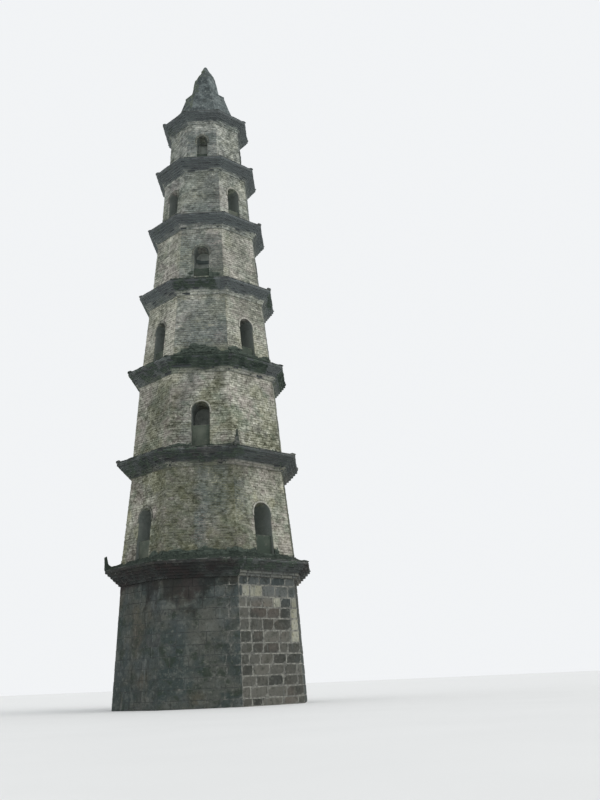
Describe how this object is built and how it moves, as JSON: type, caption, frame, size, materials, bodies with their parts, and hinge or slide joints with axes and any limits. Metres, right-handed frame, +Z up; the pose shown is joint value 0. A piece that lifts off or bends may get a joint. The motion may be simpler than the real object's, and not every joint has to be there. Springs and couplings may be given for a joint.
{
  "type": "pagoda",
  "caption": "Tall octagonal brick pagoda on a stone base storey, with tapering storeys, arched windows, upturned eaves and a pointed roof.",
  "frame": {"origin": "middle of the octagonal base at ground level", "axes": "+Z up the tower; -Y out of the front face; +X to the right seen from the front"},
  "size_m": [8.4316, 8.4316, 30.7],
  "materials": {
    "base_stone": "rough",
    "wall_brick": "rough",
    "cornice_brick": "rough",
    "roof_tile": "rough",
    "roof_render": "rough",
    "floor_paving": "rough"
  },
  "bodies": {
    "root": {"base_wall_front": "base_stone", "base_wall_back": "base_stone", "eave_1_cornice": "cornice_brick", "eave_1_roof": "roof_tile", "storey_2_wall_front": "wall_brick", "storey_2_wall_back": "wall_brick", "eave_2_cornice": "cornice_brick", "eave_2_roof": "roof_tile", "storey_3_wall_front": "wall_brick", "storey_3_wall_back": "wall_brick", "eave_3_cornice": "cornice_brick", "eave_3_roof": "roof_tile", "storey_4_wall_front": "wall_brick", "storey_4_wall_back": "wall_brick", "eave_4_cornice": "cornice_brick", "eave_4_roof": "roof_tile", "storey_5_wall_front": "wall_brick", "storey_5_wall_back": "wall_brick", "eave_5_cornice": "cornice_brick", "eave_5_roof": "roof_tile", "storey_6_wall_front": "wall_brick", "storey_6_wall_back": "wall_brick", "eave_6_cornice": "cornice_brick", "eave_6_roof": "roof_tile", "storey_7_wall_front": "wall_brick", "storey_7_wall_back": "wall_brick", "eave_7_cornice": "cornice_brick", "eave_7_roof": "roof_tile", "ground_floor": "floor_paving", "storey_2_floor": "floor_paving", "storey_3_floor": "floor_paving", "storey_4_floor": "floor_paving", "storey_5_floor": "floor_paving", "storey_6_floor": "floor_paving", "storey_7_floor": "floor_paving", "roof_bell": "roof_render", "roof_neck": "roof_render", "roof_finial": "roof_render"}
  },
  "joints": []
}
